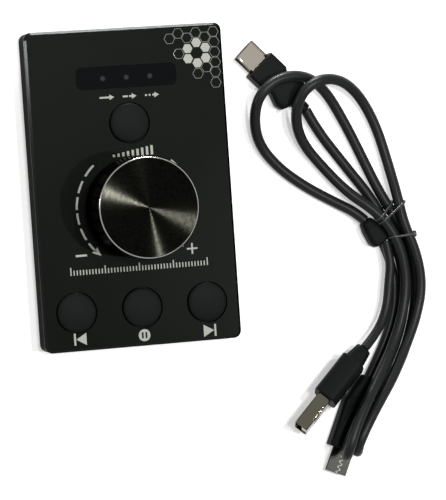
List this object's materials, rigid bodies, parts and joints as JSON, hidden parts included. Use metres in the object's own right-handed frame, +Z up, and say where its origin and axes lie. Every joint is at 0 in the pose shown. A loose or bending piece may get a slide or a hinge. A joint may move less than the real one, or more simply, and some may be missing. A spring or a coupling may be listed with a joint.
{
  "type": "usb volume control knob",
  "caption": "Flat desktop volume controller with a large push-and-turn knob, round media keys, a smoked lamp window and its tied plug lead.",
  "frame": {"origin": "on the table under the middle of the case", "axes": "+X to the right of the face, +Y to the end with the lamp window and the socket, +Z up out of the face"},
  "size_m": [0.1248, 0.1454, 0.0307],
  "materials": {
    "case_aluminium": "fine-blasted black anodised",
    "knob_aluminium": "turned, black anodised",
    "key_plastic": "matt black",
    "cover_plastic": "fine-grained black",
    "foot_rubber": "matt",
    "smoked_plastic": "smoked, polished",
    "clear_plastic": "clear moulded",
    "lamp_plastic": "white package",
    "board_laminate": "green solder mask",
    "component_black": "moulded",
    "switch_plastic": "moulded",
    "component_tan": "ceramic",
    "plated_steel": "nickel plated",
    "encoder_metal": "zinc die-cast, plated",
    "gold_contact": "gold plated",
    "connector_plastic": "moulded",
    "connector_steel": "nickel plated",
    "plug_moulding": "soft-touch PVC",
    "cord_jacket": "PVC jacket",
    "tie_plastic": "covered wire"
  },
  "bodies": {
    "case": {"base_cover": "cover_plastic", "cable_tie": "tie_plastic", "capacitors": "component_tan", "case_screws": "plated_steel", "controller_chip": "component_black", "crystal": "plated_steel", "encoder_body": "encoder_metal", "encoder_nut": "plated_steel", "encoder_pins": "plated_steel", "encoder_washer": "plated_steel", "face_plate": "case_aluminium", "foot_front_left": "foot_rubber", "foot_front_right": "foot_rubber", "foot_rear_left": "foot_rubber", "foot_rear_right": "foot_rubber", "housing": "case_aluminium", "lamp_window": "smoked_plastic", "lamps": "lamp_plastic", "light_guide": "clear_plastic", "main_board": "board_laminate", "main_cord": "cord_jacket", "micro_cord": "cord_jacket", "micro_plug_contacts": "gold_contact", "micro_plug_moulding": "plug_moulding", "micro_plug_shell": "connector_steel", "micro_plug_tongue": "connector_plastic", "next_key_switch": "component_black", "pause_key_switch": "component_black", "previous_key_switch": "component_black", "resistors": "component_black", "splitter": "plug_moulding", "top_key_switch": "component_black", "usb_a_cord": "cord_jacket", "usb_a_plug_contacts": "gold_contact", "usb_a_plug_moulding": "plug_moulding", "usb_a_plug_shell": "connector_steel", "usb_a_plug_tongue": "connector_plastic", "usb_c_plug_contacts": "gold_contact", "usb_c_plug_insert": "connector_plastic", "usb_c_plug_moulding": "plug_moulding", "usb_c_plug_shell": "connector_steel", "usb_socket_contacts": "gold_contact", "usb_socket_shell": "connector_steel", "usb_socket_tongue": "connector_plastic"},
    "push": {"push_plunger": "switch_plastic"},
    "knob": {"knob": "knob_aluminium", "encoder_shaft": "encoder_metal", "knob_set_screw": "plated_steel"},
    "previous_key": {"previous_key_cap": "key_plastic", "previous_key_plunger": "switch_plastic"},
    "pause_key": {"pause_key_cap": "key_plastic", "pause_key_plunger": "switch_plastic"},
    "next_key": {"next_key_cap": "key_plastic", "next_key_plunger": "switch_plastic"},
    "top_key": {"top_key_cap": "key_plastic", "top_key_plunger": "switch_plastic"}
  },
  "joints": [
    {"name": "knob_push", "type": "slide", "parent": "case", "child": "push", "axis": [0, 0, -1], "range_m": [0, 0.0005], "stiffness_N_per_m": 5000, "springref_m": -0.0005},
    {"name": "knob_turn", "type": "hinge", "parent": "push", "child": "knob", "pos_m": [0, -0.0062, 0.0122], "axis": [0, 0, 1], "continuous": true},
    {"name": "previous_key_press", "type": "slide", "parent": "case", "child": "previous_key", "axis": [0, 0, -1], "range_m": [0, 0.0004], "stiffness_N_per_m": 3000, "springref_m": -0.0003},
    {"name": "pause_key_press", "type": "slide", "parent": "case", "child": "pause_key", "axis": [0, 0, -1], "range_m": [0, 0.0004], "stiffness_N_per_m": 3000, "springref_m": -0.0003},
    {"name": "next_key_press", "type": "slide", "parent": "case", "child": "next_key", "axis": [0, 0, -1], "range_m": [0, 0.0004], "stiffness_N_per_m": 3000, "springref_m": -0.0003},
    {"name": "top_key_press", "type": "slide", "parent": "case", "child": "top_key", "axis": [0, 0, -1], "range_m": [0, 0.0004], "stiffness_N_per_m": 3000, "springref_m": -0.0003}
  ]
}
